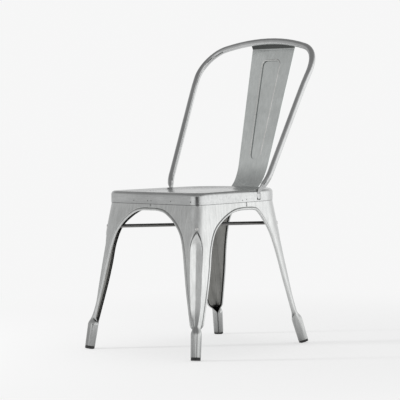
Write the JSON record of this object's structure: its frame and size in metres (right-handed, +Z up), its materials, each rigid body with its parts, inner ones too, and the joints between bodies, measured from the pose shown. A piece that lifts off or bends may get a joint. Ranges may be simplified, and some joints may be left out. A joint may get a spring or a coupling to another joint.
{
  "type": "metal bistro chair",
  "caption": "Sheet-steel bistro chair: pressed seat pan, fluted splayed legs, bent tube back hoop with a pressed splat and crossed braces.",
  "frame": {"origin": "on the floor, under the middle of the chair's bounding box", "axes": "+X to the sitter's left, -Y to the front, +Z up"},
  "size_m": [0.4456, 0.5508, 0.8501],
  "materials": {
    "seat_steel": "polished and brushed",
    "leg_steel": "polished and brushed",
    "hoop_steel": "polished",
    "splat_steel": "brushed",
    "brace_steel": "satin",
    "rivet_steel": "satin",
    "glide_rubber": "matt"
  },
  "bodies": {
    "root": {"seat_pan": "seat_steel", "leg_front_left": "leg_steel", "leg_front_right": "leg_steel", "leg_rear_left": "leg_steel", "leg_rear_right": "leg_steel", "back_hoop": "hoop_steel", "back_splat": "splat_steel", "brace_low": "brace_steel", "brace_high": "brace_steel", "brace_pin": "rivet_steel", "leg_rivets": "rivet_steel", "glide_front_left": "glide_rubber", "glide_front_right": "glide_rubber", "glide_rear_left": "glide_rubber", "glide_rear_right": "glide_rubber"}
  },
  "joints": []
}
